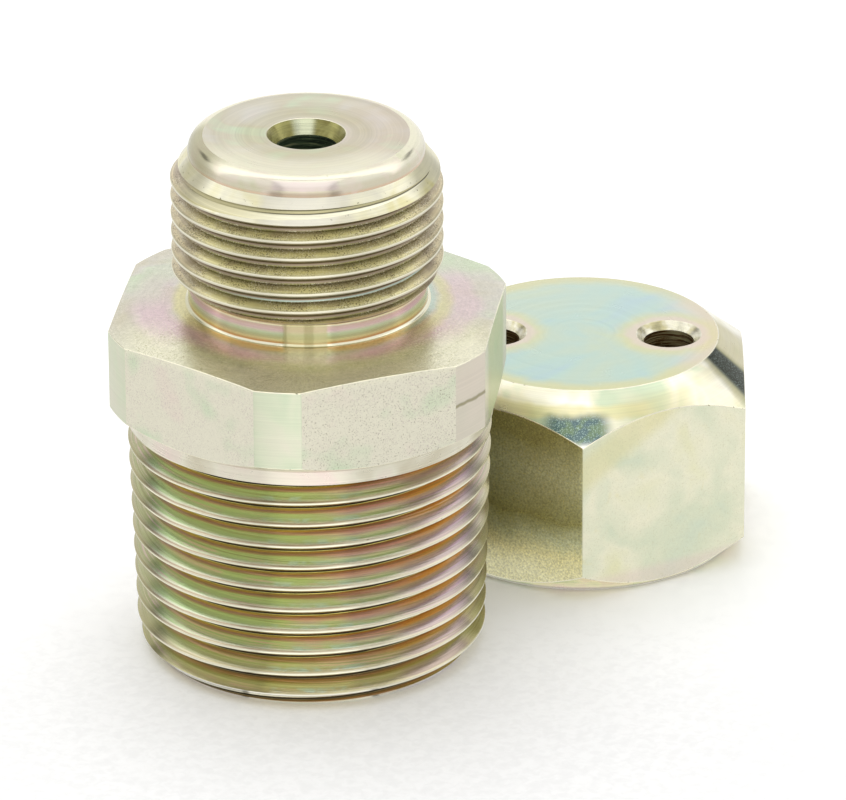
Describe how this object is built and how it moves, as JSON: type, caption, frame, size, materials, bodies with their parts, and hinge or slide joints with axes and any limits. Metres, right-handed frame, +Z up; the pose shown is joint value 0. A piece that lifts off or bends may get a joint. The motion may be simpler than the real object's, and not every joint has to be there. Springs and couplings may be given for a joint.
{
  "type": "vent cap fitting",
  "caption": "Steel vent cap fitting: a hexagon body with a taper pipe thread below, a parallel threaded nose above and a central bore, and its loose hexagon cap with vent holes.",
  "frame": {"origin": "centre of the body's base ring, on the body's axis", "axes": "+Z up along the body's axis from the taper thread to the nose; the cap stands towards +X and +Y; the viewer of the picture looks along +Y"},
  "size_m": [0.0597, 0.0607, 0.051],
  "materials": {
    "body_zinc": "turned steel, yellow chromate over zinc",
    "cap_zinc": "turned steel, yellow chromate over zinc"
  },
  "bodies": {
    "root": {"body": "body_zinc", "cap": "cap_zinc"}
  },
  "joints": []
}
